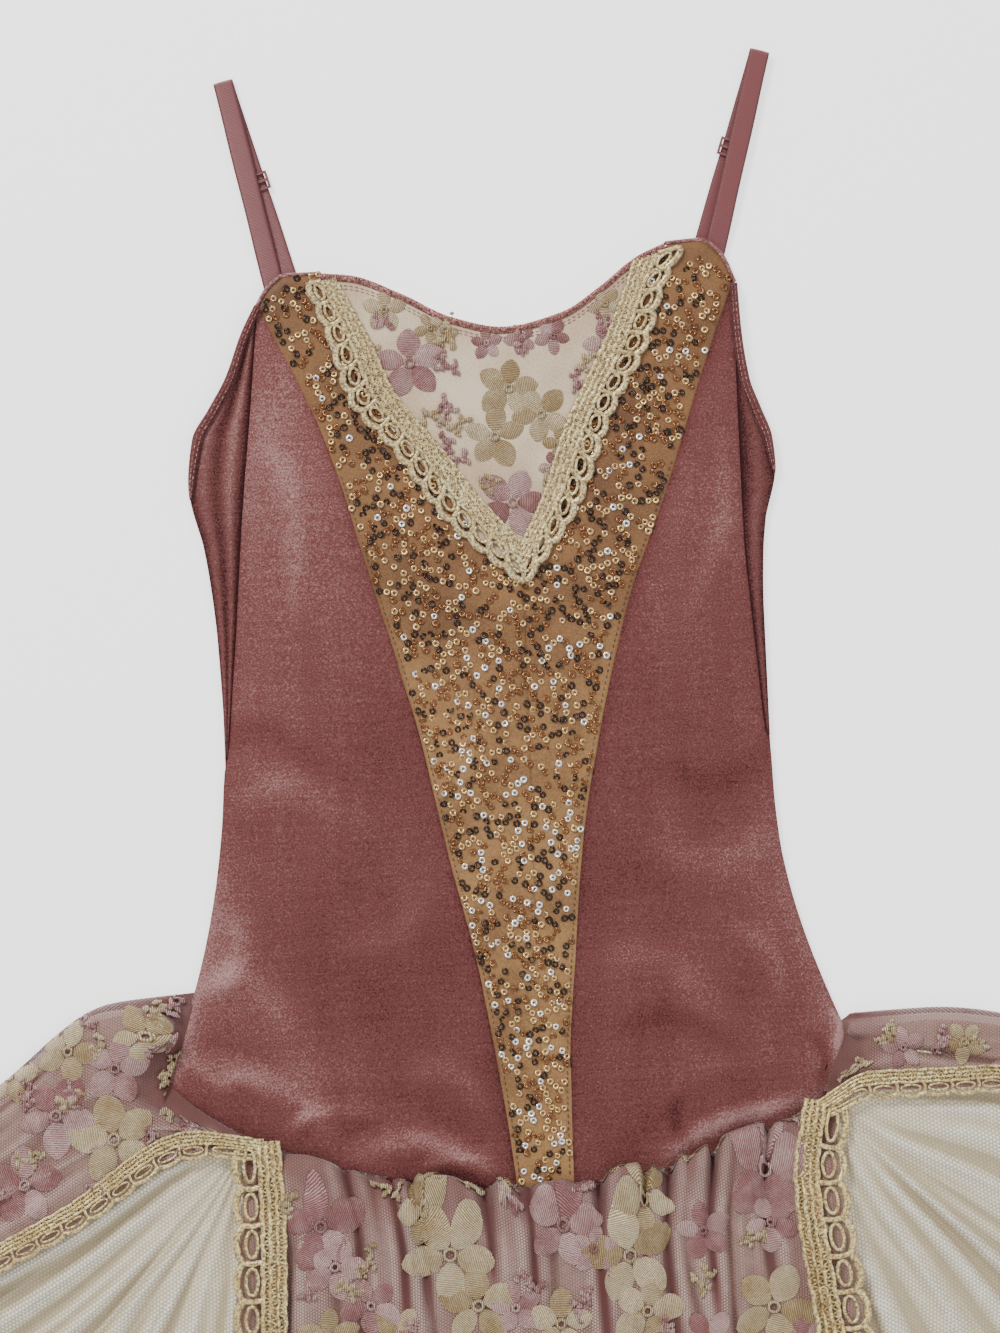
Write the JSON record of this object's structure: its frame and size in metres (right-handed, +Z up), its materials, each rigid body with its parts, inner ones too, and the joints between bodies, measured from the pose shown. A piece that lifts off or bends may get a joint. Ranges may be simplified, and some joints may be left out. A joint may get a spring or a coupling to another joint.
{
  "type": "ballet dress",
  "caption": "Romantic-style ballet dress laid flat: velvet bodice with sequinned wedge, lace-edged mesh insert, thin straps and gathered net skirt under a split embroidered overskirt",
  "frame": {"origin": "centre of the laid dress in plan, on the surface that it lies on", "axes": "+X to the viewer's right across the dress, +Y from the hem to the straps, +Z up off the surface through the dress's front"},
  "size_m": [0.8336, 0.856, 0.0387],
  "materials": {
    "velvet": "dusty rose stretch velvet with a silvery nap",
    "binding": "turned and stitched dusty rose edge",
    "sequin_mesh": "tan stretch mesh with small ring sequins in bronze and gold",
    "nude_mesh": "nude mesh with satin-stitch flowers",
    "piping": "rose metallic piping",
    "gold_galloon": "champagne metallic thread galloon",
    "skirt_galloon": "gold metallic thread galloon",
    "strap_elastic": "satin-faced dusty rose elastic",
    "slider": "dusty rose coated adjuster",
    "embroidered_net": "mauve net embroidered in pink and pale gold",
    "cream_net": "soft cream hexagonal net"
  },
  "bodies": {
    "root": {"bodice_back": "velvet", "velvet_front_left": "velvet", "velvet_front_right": "velvet", "side_panel_left": "velvet", "side_panel_right": "velvet", "armhole_binding_left": "binding", "armhole_binding_right": "binding", "sequin_panel": "sequin_mesh", "neck_insert": "nude_mesh", "neckline_binding": "piping", "neck_galloon": "gold_galloon", "strap_left": "strap_elastic", "strap_right": "strap_elastic", "strap_slider_left": "slider", "strap_slider_right": "slider", "overskirt_front": "embroidered_net", "overskirt_left": "embroidered_net", "overskirt_right": "embroidered_net", "overskirt_back": "embroidered_net", "skirt_galloon_front_left": "skirt_galloon", "skirt_galloon_front_right": "skirt_galloon", "skirt_galloon_side_left": "skirt_galloon", "skirt_galloon_side_right": "skirt_galloon", "tulle_top_front": "cream_net", "tulle_top_back": "cream_net", "tulle_under_front": "cream_net", "tulle_under_back": "cream_net"}
  },
  "joints": []
}
